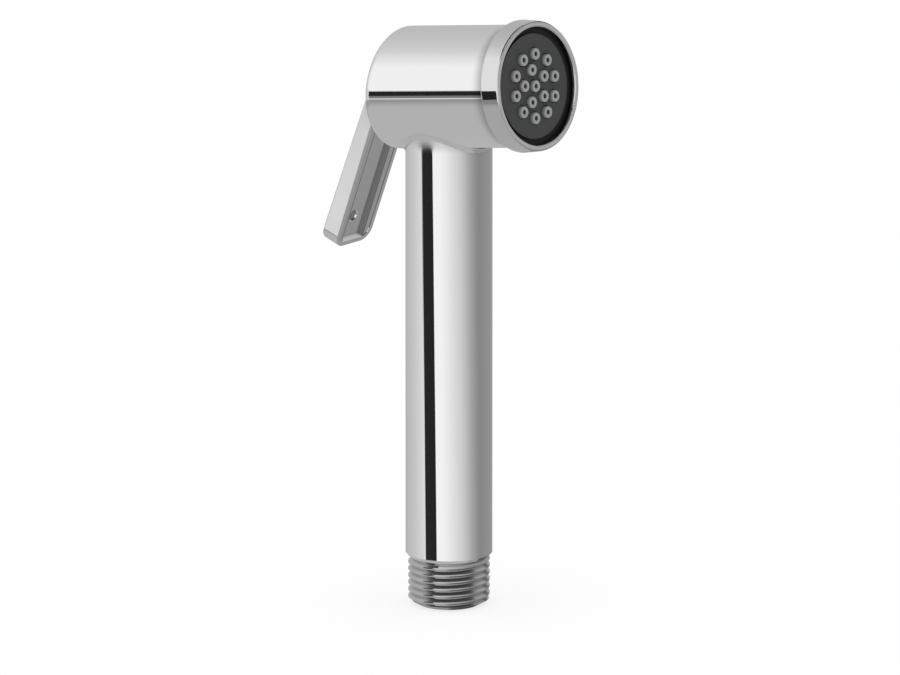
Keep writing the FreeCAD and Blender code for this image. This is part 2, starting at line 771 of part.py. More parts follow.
def make_carrier():
    length = f"({carrier_web} + web_thickness - {carrier_rear})"
    carrier = turned("carrier", [
        ("0", "0"),
        (f"{bore_radius} - 2 * slip_gap", "0"),
        (f"{bore_radius} - 2 * slip_gap", length),
        ("0", length),
    ])
    reach = "2 * barrel_radius"
    cut_pocket(carrier, "lever_slot", "YZ_Plane", reach, outline=[
        (f"-{slot_half_width}", "-over_cut"),
        (slot_half_width, "-over_cut"),
        (slot_half_width, f"{length} - web_thickness + slip_gap"),
        (f"-{slot_half_width}", f"{length} - web_thickness + slip_gap"),
    ])
    cut_pocket(carrier, "stem_hole", "XY_Plane", reach, circles=[("0", "0", "tail_radius + free_gap")])
    cut_pocket(carrier, "pin_hole", "XZ_Plane", reach,
               circles=[(f"-{pivot_above}", f"{pivot_along} - {carrier_rear}", "pin_radius + slip_gap / 5")])
    put_on_spray_axis(carrier, carrier_rear)
    keep(carrier, "lever_carrier")


def make_pin():
    # The pin ends just inside the carrier's round outside
    carrier_radius = f"({bore_radius} - 2 * slip_gap)"
    half = f"(sqrt({carrier_radius} ^ 2 - ({pivot_above} + pin_radius) ^ 2) - slip_gap)"
    pin = turned("pin", [
        ("0", f"-{half}"),
        ("pin_radius", f"-{half}"),
        ("pin_radius", half),
        ("0", half),
    ])
    pin.Placement = Placement(Vector(), Rotation(Vector(1, 0, 0), 90))
    bind(pin, "Placement.Base.x", f"-{pivot_back}")
    bind(pin, "Placement.Base.z", f"head_height + {pivot_rise}")
    keep(pin, "pivot_pin")


def lever_block(name, front, back_offset, low, high, side_wall):
    """Prism between the lever's front plane and its sloping back, narrowed towards the tip."""
    slope = "((lever_tip_thickness - lever_top_thickness) / lever_reach)"
    back_low = f"-lever_setback - lever_tip_thickness + {back_offset} + ({low} + lever_reach) * {slope}"
    back_high = f"-lever_setback - lever_tip_thickness + {back_offset} + ({high} + lever_reach) * {slope}"
    side = padded(name + "_side", "XZ_Plane", [
        (front, low),
        (back_low, low),
        (back_high, high),
        (front, high),
    ], "2 * lever_top_width")
    half_low = f"(lever_tip_width / 2 - {side_wall} + ({low} + lever_reach) * {lever_side_slope})"
    half_high = f"(lever_tip_width / 2 - {side_wall} + ({high} + lever_reach) * {lever_side_slope})"
    plan = padded(name + "_plan", "YZ_Plane", [
        (f"-{half_low}", low),
        (half_low, low),
        (half_high, high),
        (f"-{half_high}", high),
    ], "8 * lever_tip_thickness")
    low_value = value(low)
    round_edges(plan, name + "_corners", f"lever_corner - {side_wall}",
                lambda edge: isinstance(edge.Curve, Part.Line)
                and abs(edge.tangentAt(0).x) > 0.99 and abs(edge.CenterOfMass.z - low_value) < 1e-3)
    return side, plan, half_high


def lever_point(along, above):
    """Place in the lever's frame of a point given on and above the spray axis, lever at rest."""
    turn = "(head_tilt + lever_lean)"
    ahead = f"({along} - {pivot_along})"
    below = f"({above} - {pivot_above})"
    inward = f"({ahead} * cos({turn}) - {below} * sin({turn}))"
    upward = f"({ahead} * sin({turn}) + {below} * cos({turn}))"
    return inward, upward


lever_rim = "(-lever_setback)"
lever_tip = "(-lever_reach)"
cap_top = "(-cap_top_drop)"
core_front = f"({lever_rim} - rim_recess)"
screw_place = f"({lever_tip} + screw_height)"
cap_floor = (f"({lever_rim} - lever_tip_thickness + cap_wall"
             " + screw_height * (lever_tip_thickness - lever_top_thickness) / lever_reach)")
head_seat = f"({core_front} - channel_depth - screw_recess - screw_head_height)"


def cross_pin(name, radius, length, inward="0", upward="0"):
    """Cylinder across the lever, from its middle plane to both sides."""
    pin = primitive("Part::Cylinder", name, Radius=radius, Height=f"2 * ({length})")
    pin.Placement = Placement(Vector(), Rotation(Vector(1, 0, 0), -90))
    bind(pin, "Placement.Base.x", inward)
    bind(pin, "Placement.Base.y", f"-({length})")
    bind(pin, "Placement.Base.z", upward)
    return pin


def inward_peg(name, radius, start, length, upward):
    """Cylinder through the lever's thickness, from a depth towards the handle."""
    peg = primitive("Part::Cylinder", name, Radius=radius, Height=length)
    peg.Placement = Placement(Vector(), Rotation(Vector(0, 1, 0), 90))
    bind(peg, "Placement.Base.x", start)
    bind(peg, "Placement.Base.z", upward)
    return peg


def make_cap():
    side, plan, half = lever_block("cap", lever_rim, "0", lever_tip, cap_top, "0")
    arch_corners(plan, "cap_arch", half, cap_top)
    solid = combine("Part::MultiCommon", "cap_solid", Shapes=[side, plan])
    back_edges = [(number, value("lever_edge"), value("lever_edge"))
                  for number, edge in enumerate(solid.Shape.Edges, start=1) if is_back_edge(edge)]
    rounded = doc.addObject("Part::Fillet", "cap_rounded")
    rounded.Base = solid
    rounded.Edges = back_edges
    side, plan, half = lever_block("hollow", f"({lever_rim} + cap_wall)", "cap_wall",
                                   f"{lever_tip} + cap_wall", f"{cap_top} + lever_top_width", "cap_wall")
    hollow = combine("Part::MultiCommon", "cap_hollow", Shapes=[side, plan])
    shell = combine("Part::Cut", "cap_shell", Base=rounded, Tool=hollow)
    boss = inward_peg("cap_boss", "screw_boss", f"{cap_floor} - slip_gap", "screw_boss_height + slip_gap",
                      screw_place)
    hole = inward_peg("cap_screw_hole", "screw_shank + slip_gap", f"{head_seat} - screw_length - slip_gap",
                      "lever_tip_thickness", screw_place)
    bossed = combine("Part::MultiFuse", "cap_bossed", Shapes=[shell, boss])
    bored = combine("Part::Cut", "cap_bored", Base=bossed, Tool=hole)
    put_on_lever(bored)
    beyond = primitive("Part::Box", "cap_trim", Length="4 * barrel_radius", Width="4 * barrel_radius",
                       Height="4 * barrel_radius")
    bind(beyond, "Placement.Base.x", "-rear_face - free_gap")
    bind(beyond, "Placement.Base.y", "-2 * barrel_radius")
    bind(beyond, "Placement.Base.z", "head_height - barrel_radius")
    keep(combine("Part::Cut", "cap_cleared", Base=bored, Tool=beyond), "lever_cap")


def make_core():
    wall = "(cap_wall + slip_gap)"
    core_top = f"({cap_top} - {wall})"
    side, plan, half = lever_block("core", core_front, wall, f"{lever_tip} + {wall}", core_top, wall)
    arch_corners(plan, "core_arch", half, core_top)
    blade = combine("Part::MultiCommon", "core_blade", Shapes=[side, plan])
    nose_in, nose_up = lever_point("(-button_setback - cam_gap - nose_tip_radius)", "0")
    step_in, step_up = lever_point("(-button_setback - 2 * free_gap)", "(tail_radius + 2 * free_gap)")
    head = padded("core_head", "XZ_Plane", [
        (nose_in, f"{nose_up} - nose_tip_radius"),
        (nose_in, f"{nose_up} + nose_tip_radius"),
        (step_in, step_up),
        ("boss_radius", "0"),
        ("-boss_radius", "0"),
        (f"{core_front} - cap_wall", nose_up),
        (f"{core_front} - cap_wall", f"{nose_up} - 2 * nose_tip_radius"),
    ], "cam_width")
    nose = cross_pin("core_nose", "nose_tip_radius", "cam_width / 2", nose_in, nose_up)
    boss = cross_pin("core_boss", "boss_radius", "cam_width / 2")
    solid = combine("Part::MultiFuse", "core_solid", Shapes=[blade, head, nose, boss])
    channel = primitive("Part::Box", "core_channel", Length="channel_depth + over_cut", Width="channel_width",
                        Height="lever_reach - channel_stop + over_cut")
    bind(channel, "Placement.Base.x", f"{core_front} - channel_depth")
    bind(channel, "Placement.Base.y", "-channel_width / 2")
    bind(channel, "Placement.Base.z", f"{lever_tip} - over_cut")
    tools = [
        channel,
        cross_pin("core_pin_hole", "pin_radius + slip_gap", "lever_top_width"),
        inward_peg("core_counterbore", "screw_head + 2 * slip_gap", head_seat, "lever_tip_thickness",
                   screw_place),
        inward_peg("core_shank_hole", "screw_shank + slip_gap", "-2 * lever_tip_thickness",
                   "3 * lever_tip_thickness", screw_place),
        inward_peg("core_boss_hole", "screw_boss + slip_gap", f"{cap_floor} - over_cut",
                   "screw_boss_height + slip_gap + over_cut", screw_place),
    ]
    hollows = combine("Part::MultiFuse", "core_hollows", Shapes=tools)
    core = combine("Part::Cut", "core_cut", Base=solid, Tool=hollows)
    rim_edges = [(number, value("channel_edge"), value("channel_edge"))
                 for number, edge in enumerate(core.Shape.Edges, start=1) if is_channel_edge(edge)]
    eased = doc.addObject("Part::Fillet", "core_eased")
    eased.Base = core
    eased.Edges = rim_edges
    put_on_lever(eased)
    doc.recompute()
    keep(eased, "lever_core")


def is_channel_edge(edge):
    """True for the two long edges where the channel meets the core's front."""
    front = value(core_front)
    half = value("channel_width / 2")
    return all(abs(vertex.Point.x - front) < 1e-4 and abs(abs(vertex.Point.y) - half) < 1e-4
               for vertex in edge.Vertexes) and edge.Length > value("lever_reach") / 4


def make_screw():
    screw = turned("screw", [
        ("0", "0"),
        ("screw_shank", "0"),
        ("screw_shank", "screw_length"),
        ("screw_head", "screw_length"),
        ("screw_head", "screw_length + screw_head_height - slip_gap"),
        ("0", "screw_length + screw_head_height - slip_gap"),
    ])
    half_slot = "screw_slot / 2"
    half_cross = "screw_slot_reach"
    cut_pocket(screw, "screw_cross", "XY_Plane", "screw_slot_depth", side="One side",
               offset="screw_length + screw_head_height - slip_gap", outline=[
                   (half_cross, f"-{half_slot}"),
                   (half_cross, half_slot),
                   (half_slot, half_slot),
                   (half_slot, half_cross),
                   (f"-{half_slot}", half_cross),
                   (f"-{half_slot}", half_slot),
                   (f"-{half_cross}", half_slot),
                   (f"-{half_cross}", f"-{half_slot}"),
                   (f"-{half_slot}", f"-{half_slot}"),
                   (f"-{half_slot}", f"-{half_cross}"),
                   (half_slot, f"-{half_cross}"),
                   (half_slot, f"-{half_slot}"),
               ])
    put_on_lever(screw, f"{head_seat} - screw_length", screw_place, "90")
    keep(screw, "lever_screw")


def arch_corners(plan, name, half, top):
    """Round the top of a lever block, whose sides lean, to an arch with a short flat in its middle."""
    top_value = value(top)
    lean = f"(sqrt(1 + {lever_side_slope} ^ 2) + {lever_side_slope})"
    round_edges(plan, name, f"({half} - lever_arch_flat) / {lean}",
                lambda edge: isinstance(edge.Curve, Part.Line)
                and abs(edge.tangentAt(0).x) > 0.99 and abs(edge.CenterOfMass.z - top_value) < 1e-3)


def is_back_edge(edge):
    """True for the edges all round the lever's outer face."""
    slope = value("(lever_tip_thickness - lever_top_thickness) / lever_reach")
    base = value("-lever_setback - lever_tip_thickness")
    points = [edge.valueAt(edge.FirstParameter + share * (edge.LastParameter - edge.FirstParameter))
              for share in (0, 0.5, 1)]
    return all(abs(point.x - base - (point.z + value("lever_reach")) * slope) < 1e-3 for point in points)


make_body()
make_inlet()
make_face()
make_valve()
make_carrier()
make_pin()
make_cap()
make_core()
make_screw()

doc.recompute()
for item in doc.Objects:
    if "Invalid" in item.State or "Error" in item.State:
        raise ValueError(f"{item.Label} failed: {item.State}")
for label, item in nodes.items():
    if item.Shape.isNull() or not item.Shape.isValid():
        raise ValueError(f"{label} has no valid shape")

os.makedirs("parts", exist_ok=True)
for label, item in nodes.items():
    item.Shape.exportStep(f"parts/{label}.step")
    print(f"{label}: {len(item.Shape.Solids)} solid, {item.Shape.Volume:.1f} mm3")
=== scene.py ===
import math

import bpy
from mathutils import Matrix, Vector


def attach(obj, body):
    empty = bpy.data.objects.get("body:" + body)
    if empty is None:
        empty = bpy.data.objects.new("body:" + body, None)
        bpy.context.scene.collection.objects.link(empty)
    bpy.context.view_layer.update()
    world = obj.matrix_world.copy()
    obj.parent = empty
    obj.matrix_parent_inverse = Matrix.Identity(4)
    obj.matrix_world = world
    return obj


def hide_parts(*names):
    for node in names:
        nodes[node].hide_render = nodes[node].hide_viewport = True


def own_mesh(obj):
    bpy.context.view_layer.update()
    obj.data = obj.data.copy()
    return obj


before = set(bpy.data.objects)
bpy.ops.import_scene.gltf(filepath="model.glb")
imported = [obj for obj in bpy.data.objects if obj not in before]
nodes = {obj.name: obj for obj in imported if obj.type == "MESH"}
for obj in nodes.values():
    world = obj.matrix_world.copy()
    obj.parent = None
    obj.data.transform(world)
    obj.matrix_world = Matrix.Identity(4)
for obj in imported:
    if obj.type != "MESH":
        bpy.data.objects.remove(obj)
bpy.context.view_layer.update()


# Casting: the barrel and the handle are one piece of brass, ground, polished and chrome plated.
# The plate is a mirror with a slow ripple from the polishing wheel and hairline wipe marks.

def node_filler(owner):
    """Clear the node tree of a material, world or group, and return a short way to fill it."""
    tree = owner.node_tree if hasattr(owner, "node_tree") else owner
    tree.nodes.clear()

    def add(kind, inputs=(), **settings):
        """New node. An input is given a value, a socket to link, or a list of sockets."""
        node = tree.nodes.new(kind)
        for name, setting in settings.items():
            setattr(node, name, setting)
        for name, value in dict(inputs).items():
            socket = node.inputs[name]
            for source in value if isinstance(value, list) else [value]:
                if isinstance(source, bpy.types.NodeSocket):
                    tree.links.new(source, socket)
                else:
                    socket.default_value = source
        return node
    return add


def arithmetic(add, operation, first, second=0.0):
    """Result of one calculation."""
    return add("ShaderNodeMath", {0: first, 1: second}, operation=operation).outputs[0]


def ramp(add, source, low, high, start=0.0, end=1.0, smooth=True):
    """Value that goes from start to end while the source goes from low to high."""
    kind = "SMOOTHSTEP" if smooth else "LINEAR"
    return add("ShaderNodeMapRange", {
        "Value": source, "From Min": low, "From Max": high, "To Min": start, "To Max": end,
    }, interpolation_type=kind).outputs["Result"]


def along_axis(add, axis):
    """How far the surface lies along an axis from the origin."""
    place = add("ShaderNodeTexCoord").outputs["Object"]
    return add("ShaderNodeVectorMath", {0: place, 1: axis}, operation="DOT_PRODUCT").outputs["Value"]


def shader_group(name, inputs):
    """New shader group: a way to fill it, what it is given, and a way to put its results out."""
    group = bpy.data.node_groups.new(name, "ShaderNodeTree")
    add = node_filler(group)
    kinds = {float: "NodeSocketFloat", tuple: "NodeSocketVector"}
    for label, start in inputs.items():
        socket = group.interface.new_socket(label, in_out="INPUT", socket_type=kinds[type(start)])
        socket.default_value = start

    def put_out(**results):
        """Close the group with its outputs."""
        for label in results:
            kind = "NodeSocketVector" if label == "Normal" else "NodeSocketFloat"
            group.interface.new_socket(label, in_out="OUTPUT", socket_type=kind)
        add("NodeGroupOutput", results)
        return group
    return add, add("NodeGroupInput").outputs, put_out


def plated_surface_group():
    """Roughness and normal of a polished plate: smudges, hairline wipe marks and a slow ripple.

    A lean turns the mirror a little to one side, more with each millimetre below its top.
    """
    add, given, put_out = shader_group("plated surface", {
        "Gloss roughness": 0.03, "Smudge": 0.02, "Smudge scale": 45.0,
        "Hairlines": 0.02, "Hairline stretch": (2600.0, 2600.0, 60.0), "Hairline turn": (0.3, 0.5, 0.2),
        "Ripple": 0.3, "Ripple scale": 60.0, "Ripple height": 0.00002,
        "Lean": 0.0, "Lean top": 0.12, "Lean across": (0.7843, 0.6204, 0.0)})
    place = add("ShaderNodeTexCoord").outputs["Object"]
    smudge = add("ShaderNodeTexNoise", {"Vector": place, "Scale": given["Smudge scale"], "Detail": 5})
    smudged = ramp(add, smudge.outputs["Fac"], low=0.45, high=0.75, end=given["Smudge"])
    stretched = add("ShaderNodeMapping", {"Vector": place, "Rotation": given["Hairline turn"],
                                          "Scale": given["Hairline stretch"]})
    wipe = add("ShaderNodeTexNoise", {"Vector": stretched.outputs["Vector"], "Scale": 1, "Detail": 2})
    wiped = ramp(add, wipe.outputs["Fac"], low=0.62, high=0.8, end=given["Hairlines"], smooth=False)
    marks = arithmetic(add, "ADD", smudged, wiped)
    roughness = arithmetic(add, "ADD", given["Gloss roughness"], marks)

    level = add("ShaderNodeSeparateXYZ", {"Vector": place}).outputs["Z"]
    drop = arithmetic(add, "MAXIMUM", arithmetic(add, "SUBTRACT", given["Lean top"], level))
    slope = arithmetic(add, "MULTIPLY", drop, given["Lean"])
    height = arithmetic(add, "MULTIPLY", slope, along_axis(add, given["Lean across"]))
    leant = add("ShaderNodeBump", {"Distance": 1.0, "Height": height})
    ripple = add("ShaderNodeTexNoise", {"Vector": place, "Scale": given["Ripple scale"], "Detail": 1})
    waved = add("ShaderNodeBump", {"Strength": given["Ripple"], "Distance": given["Ripple height"],
                                   "Height": ripple.outputs["Fac"], "Normal": leant.outputs["Normal"]})
    return put_out(Roughness=roughness, Normal=waved.outputs["Normal"])


def painted_corner_shade_group():
    """Painted shade: a mask that is lowest deep in a corner or gap, where shade falls, and 1 in the
    open.
    """
    add, given, put_out = shader_group("painted_corner_shade", {
        "Reach": 0.004, "Covered": 0.35, "Clear": 0.95, "Least": 0.5})
    around = add("ShaderNodeAmbientOcclusion", {"Distance": given["Reach"]}, samples=8)
    return put_out(Open=ramp(add, around.outputs["AO"], given["Covered"], given["Clear"],
                             start=given["Least"]))


def edge_shade_group():
    """Mask that falls from 1 to its least between two places along an axis."""
    add, given, put_out = shader_group("edge shade", {
        "Axis": (1.0, 0.0, 0.0), "Start": 0.0, "End": 0.01, "Least": 0.5})
    return put_out(Open=ramp(add, along_axis(add, given["Axis"]), given["Start"], given["End"],
                             start=1.0, end=given["Least"]))


def neck_group():
    """Extra roughness at the top of the handle, where the wheel couldn't get in under the barrel."""
    add, given, put_out = shader_group("neck", {
        "Radius": 0.0118, "Reach": 0.001, "Most": 0.45,
        "Start": 0.1198, "Full": 0.1252, "Fade": 0.1265, "End": 0.13})
    point = add("ShaderNodeTexCoord").outputs["Object"]
    place = add("ShaderNodeSeparateXYZ", {"Vector": point}).outputs
    flat = add("ShaderNodeCombineXYZ", {"X": place["X"], "Y": place["Y"]}).outputs["Vector"]
    radius = add("ShaderNodeVectorMath", {0: flat}, operation="LENGTH").outputs["Value"]
    outside = arithmetic(add, "SUBTRACT", radius, given["Radius"])
    near = ramp(add, outside, 0.0, given["Reach"], start=given["Most"], end=0.0)
    rise = ramp(add, place["Z"], given["Start"], given["Full"])
    fall = ramp(add, place["Z"], given["Fade"], given["End"], start=1.0, end=0.0)
    span = arithmetic(add, "MULTIPLY", rise, fall)
    return put_out(Dull=arithmetic(add, "MULTIPLY", near, span))


plated_surface = plated_surface_group()
painted_corner_shade = painted_corner_shade_group()
edge_shade = edge_shade_group()


def new_material(name):
    """Empty material and a short way to fill it."""
    material = bpy.data.materials.new(name)
    material.use_nodes = True
    return material, node_filler(material)


def mask_outputs(add, masks):
    """What each mask puts out. A mask is given as its group and its values."""
    return [add("ShaderNodeGroup", values, node_tree=group).outputs["Open"] for group, values in masks]


def tinted(add, tone, shades):
    """Colour darkened by each shade in turn."""
    color = (*tone, 1)
    for shade in shades:
        color = add("ShaderNodeMix", {0: 1.0, 6: color, 7: shade}, data_type="RGBA",
                    blend_type="MULTIPLY").outputs[2]
    return color


def chrome_plate(name, tone, roughness=0.03, smudge=0.015, hairlines=0.02, ripple=0.3, lean=0.0,
                 shade_reach=0.004, shade_least=0.55, masks=(), dull=None):
    """Mirror chrome with its marks in the roughness, its ripple in the normal, and painted shade in its
    corners and where its masks fall.
    """
    material, add = new_material(name)
    marks = add("ShaderNodeGroup", {
        "Gloss roughness": roughness, "Smudge": smudge, "Hairlines": hairlines, "Ripple": ripple,
        "Lean": lean}, node_tree=plated_surface).outputs
    # Painted shade in corners and gaps, from ambient occlusion
    corner_shade_values = (painted_corner_shade, {"Reach": shade_reach, "Least": shade_least})
    rough = marks["Roughness"]
    if dull:
        worn = add("ShaderNodeGroup", node_tree=dull).outputs["Dull"]
        rough = arithmetic(add, "ADD", rough, worn)
    surface = add("ShaderNodeBsdfPrincipled", {
        "Base Color": tinted(add, tone, mask_outputs(add, (corner_shade_values, *masks))), "Metallic": 1,
        "Roughness": rough, "Normal": marks["Normal"]})
    add("ShaderNodeOutputMaterial", {"Surface": surface.outputs["BSDF"]})
    return material


def dress(names, material):
    """Give CAD pieces one material."""
    for name in names:
        slots = nodes[name].data.materials
        slots.clear()
        slots.append(material)


head_tilt = math.radians(8.5)
spray_axis = Vector((math.cos(head_tilt), 0, math.sin(head_tilt)))
head_centre = Vector((0, 0, 0.136))
centre_along = head_centre.dot(spray_axis)


def shade_on_axis(start, end, least):
    """Edge shade between two places on the spray axis, measured from the head's centre."""
    return edge_shade, {"Axis": spray_axis, "Start": centre_along + start, "End": centre_along + end,
                        "Least": least}


chrome_tone = (0.88, 0.885, 0.88)
# Painted shade darkens the barrel over the last millimetres before the ring
ring_shade_start = 0.0196
ring_shade_end = 0.0242
ring_painted_shade = shade_on_axis(ring_shade_start, ring_shade_end, least=0.5)
# The handle's mirror tilts to one side by this many radians for each metre below the neck
handle_lean = 1.05
dress(["body"], chrome_plate("casting chrome", chrome_tone, lean=handle_lean, masks=(ring_painted_shade,),
                             dull=neck_group()))
# Mirrors show the room and the dark face, so that the reflections stay calm
for name, node in nodes.items():
    node.visible_glossy = name == "face_plate"


# Inlet: a chrome-plated shank with a cut G1/2 thread is screwed into the foot of the handle. A black
# O-ring seals it there, and a white moulded strainer sits in its mouth.

def moulded_surface_group():
    """Roughness, normal and tone of moulded plastic or rubber: fine grain and faint flow clouds."""
    add, given, put_out = shader_group("moulded surface", {
        "Gloss roughness": 0.45, "Grain size": 0.0003, "Grain depth": 0.00001,
        "Clouds": 0.1, "Cloud scale": 160.0})
    place = add("ShaderNodeTexCoord").outputs["Object"]
    density = arithmetic(add, "DIVIDE", 1.0, given["Grain size"])
    grain = add("ShaderNodeTexNoise", {"Vector": place, "Scale": density, "Detail": 3})
    bumped = add("ShaderNodeBump", {"Distance": given["Grain depth"], "Height": grain.outputs["Fac"]})
    cloud = add("ShaderNodeTexNoise", {"Vector": place, "Scale": given["Cloud scale"], "Detail": 3})
    clouded = arithmetic(add, "MULTIPLY", cloud.outputs["Fac"], given["Clouds"])
    return put_out(Roughness=arithmetic(add, "ADD", given["Gloss roughness"], clouded),
                   Normal=bumped.outputs["Normal"],
                   Tone=arithmetic(add, "SUBTRACT", 1.0, clouded))


moulded_surface = moulded_surface_group()


def moulding(name, tone, roughness, grain_size, grain_depth, clouds, specular=0.5,
             shade_reach=0.0015, shade_least=0.6, masks=()):
    """Moulded plastic or rubber in one colour, with painted shade in its corners and where its masks
    fall.
    """
    material, add = new_material(name)
    skin = add("ShaderNodeGroup", {
        "Gloss roughness": roughness, "Grain size": grain_size, "Grain depth": grain_depth,
        "Clouds": clouds}, node_tree=moulded_surface).outputs
    # Painted shade in corners and gaps, from ambient occlusion
    corner_shade_values = (painted_corner_shade, {"Reach": shade_reach, "Least": shade_least})
    shades = [skin["Tone"]] + mask_outputs(add, (corner_shade_values, *masks))
    surface = add("ShaderNodeBsdfPrincipled", {
        "Base Color": tinted(add, tone, shades), "Roughness": skin["Roughness"],
        "Normal": skin["Normal"], "Specular IOR Level": specular})
    add("ShaderNodeOutputMaterial", {"Surface": surface.outputs["BSDF"]})
    return material


thread_tone = (0.66, 0.665, 0.66)
dress(["inlet_shank"], chrome_plate("thread chrome", thread_tone, roughness=0.18, hairlines=0.05,
                                    shade_reach=0.0012, shade_least=0.55))
seal_tone = (0.028, 0.028, 0.028)
seal_rubber = moulding("seal rubber", seal_tone, roughness=0.5, grain_size=0.00025,
                       grain_depth=0.000006, clouds=0.15)
dress(["shank_o_ring"], seal_rubber)
acetal_tone = (0.75, 0.76, 0.74)
white_acetal = moulding("white acetal", acetal_tone, roughness=0.38, grain_size=0.0004,
                        grain_depth=0.000004, clouds=0.06)
dress(["inlet_strainer"], white_acetal)


# Valve: a turned brass sleeve holds the seat, and a brass stem slides in it with a rubber washer, its
# cup and a steel nut. A steel spring on a pierced disc closes it. All of it slides in from the front.

def turned_surface_group():
    """Roughness, normal and tone of turned metal: fine tool rings about the axis, and tarnish."""
    add, given, put_out = shader_group("turned surface", {
        "Axis": (0.0, 0.0, 1.0), "Ring spacing": 0.0001, "Ring depth": 0.000003,
        "Gloss roughness": 0.2, "Tarnish": 0.2, "Tarnish scale": 220.0})
    place = add("ShaderNodeTexCoord").outputs["Object"]
    turns = arithmetic(add, "DIVIDE", along_axis(add, given["Axis"]), given["Ring spacing"])
    ring = add("ShaderNodeTexNoise", {"W": turns, "Scale": 1, "Detail": 2}, noise_dimensions="1D")
    grooved = add("ShaderNodeBump", {"Distance": given["Ring depth"], "Height": ring.outputs["Fac"]})
    patch = add("ShaderNodeTexNoise", {"Vector": place, "Scale": given["Tarnish scale"], "Detail": 4})
    stain = ramp(add, patch.outputs["Fac"], low=0.4, high=0.75, end=given["Tarnish"])
    return put_out(Roughness=arithmetic(add, "ADD", given["Gloss roughness"], stain),
                   Normal=grooved.outputs["Normal"],
                   Tone=arithmetic(add, "SUBTRACT", 1.0, stain))


turned_surface = turned_surface_group()


def turned_metal(name, tone, axis, roughness, spacing=0.00012, depth=0.000003, tarnish=0.15):
    """Bare metal turned about an axis."""
    material, add = new_material(name)
    skin = add("ShaderNodeGroup", {
        "Axis": axis, "Ring spacing": spacing, "Ring depth": depth, "Gloss roughness": roughness,
        "Tarnish": tarnish}, node_tree=turned_surface).outputs
    surface = add("ShaderNodeBsdfPrincipled", {
        "Base Color": tinted(add, tone, [skin["Tone"]]), "Metallic": 1,
        "Roughness": skin["Roughness"], "Normal": skin["Normal"]})
    add("ShaderNodeOutputMaterial", {"Surface": surface.outputs["BSDF"]})
    return material


brass_tone = (0.78, 0.57, 0.27)
steel_tone = (0.62, 0.62, 0.61)
dress(["valve_sleeve", "spring_seat"],
      turned_metal("sleeve brass", brass_tone, spray_axis, roughness=0.24))
dress(["valve_stem", "washer_cup"],
      turned_metal("stem brass", brass_tone, spray_axis, roughness=0.16, spacing=0.00008))
dress(["stem_nut"], turned_metal("valve steel", steel_tone, spray_axis, roughness=0.22))
dress(["sleeve_rear_o_ring", "sleeve_front_o_ring", "stem_o_ring"], seal_rubber)
washer_tone = (0.04, 0.038, 0.036)
dress(["valve_washer"], moulding("washer rubber", washer_tone, roughness=0.6, grain_size=0.0004,
                                 grain_depth=0.000012, clouds=0.2))

# Places along the spray axis are measured from the head's centre
spring_turns = 4.0
spring_radius = 0.0054
wire_radius = 0.00045
spring_rear = 0.01435
spring_front = 0.02155
steps_in_turn = 64
wire_sides = 16
spring_steel = turned_metal("spring steel", steel_tone, spray_axis, roughness=0.2, spacing=0.00006)


def geometry_tree(name, labels):
    """New geometry node tree with named inputs: the tree, a way to fill it, and what it is given."""
    tree = bpy.data.node_groups.new(name, "GeometryNodeTree")
    tree.interface.new_socket("Geometry", in_out="INPUT", socket_type="NodeSocketGeometry")
    for label in labels:
        tree.interface.new_socket(label, in_out="INPUT", socket_type="NodeSocketFloat")
    tree.interface.new_socket("Geometry", in_out="OUTPUT", socket_type="NodeSocketGeometry")
    add = node_filler(tree)
    return tree, add, add("NodeGroupInput").outputs


def spring_tree(labels):
    """Geometry nodes: round wire wound along a spiral."""
    tree, add, given = geometry_tree("valve coil", labels)
    line = add("GeometryNodeCurveSpiral", {
        "Resolution": steps_in_turn, "Rotations": given["Turns"], "Start Radius": given["Coil radius"],
        "End Radius": given["Coil radius"], "Height": given["Coil height"]})
    section = add("GeometryNodeCurvePrimitiveCircle", {"Resolution": wire_sides,
                                                       "Radius": given["Wire radius"]})
    wound = add("GeometryNodeCurveToMesh", {"Curve": line.outputs["Curve"],
                                            "Profile Curve": section.outputs["Curve"],
                                            "Fill Caps": True})
    smooth = add("GeometryNodeSetShadeSmooth", {"Geometry": wound.outputs["Mesh"]})
    finished = add("GeometryNodeSetMaterial", {"Geometry": smooth.outputs["Geometry"],
                                               "Material": spring_steel})
    add("NodeGroupOutput", {"Geometry": finished.outputs["Geometry"]})
    return tree


to_spray_axis = Matrix.Rotation(math.radians(90) - head_tilt, 4, "Y")


def grown_piece(name, make_tree, values, along):
    """Plain mesh that geometry nodes make from the values, set on the spray axis as an object."""
    tree = make_tree(values)
    holder = bpy.data.objects.new(name + "_holder", bpy.data.meshes.new(name + "_start"))
    bpy.context.scene.collection.objects.link(holder)
    modifier = holder.modifiers.new(name, "NODES")
    modifier.node_group = tree
    for socket in tree.interface.items_tree:
        if socket.in_out == "INPUT" and socket.name in values:
            modifier[socket.identifier] = values[socket.name]
    graph = bpy.context.evaluated_depsgraph_get()
    mesh = bpy.data.meshes.new_from_object(holder.evaluated_get(graph))
    bpy.data.objects.remove(holder)
    mesh.name = name
    mesh.transform(Matrix.Translation(head_centre + spray_axis * along) @ to_spray_axis)
    piece = bpy.data.objects.new(name, mesh)
    bpy.context.scene.collection.objects.link(piece)
    return piece


valve_coil = grown_piece("valve_coil", spring_tree, {
    "Turns": spring_turns,
    "Coil radius": spring_radius,
    "Coil height": spring_front - spring_rear - 2 * wire_radius,
    "Wire radius": wire_radius,
}, along=spring_rear + wire_radius)
valve_coil.visible_glossy = False
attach(valve_coil, "spray_body")
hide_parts("valve_spring")
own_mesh(valve_coil)


# Spray face: a white distributor and a grey silicone mat with 16 nozzles sit in a black moulded plate.
# The mat is one soft moulding, and each nozzle pokes through its own hole in the plate.

outer_count = 10
outer_circle = 0.0082
inner_count = 5
inner_circle = 0.00435
pattern_turn = math.radians(26.1)
mat_radius = 0.01215
mat_thickness = 0.001
mat_rear = 0.02505
nozzle_reach = 0.0038
nozzle_radius = 0.0017
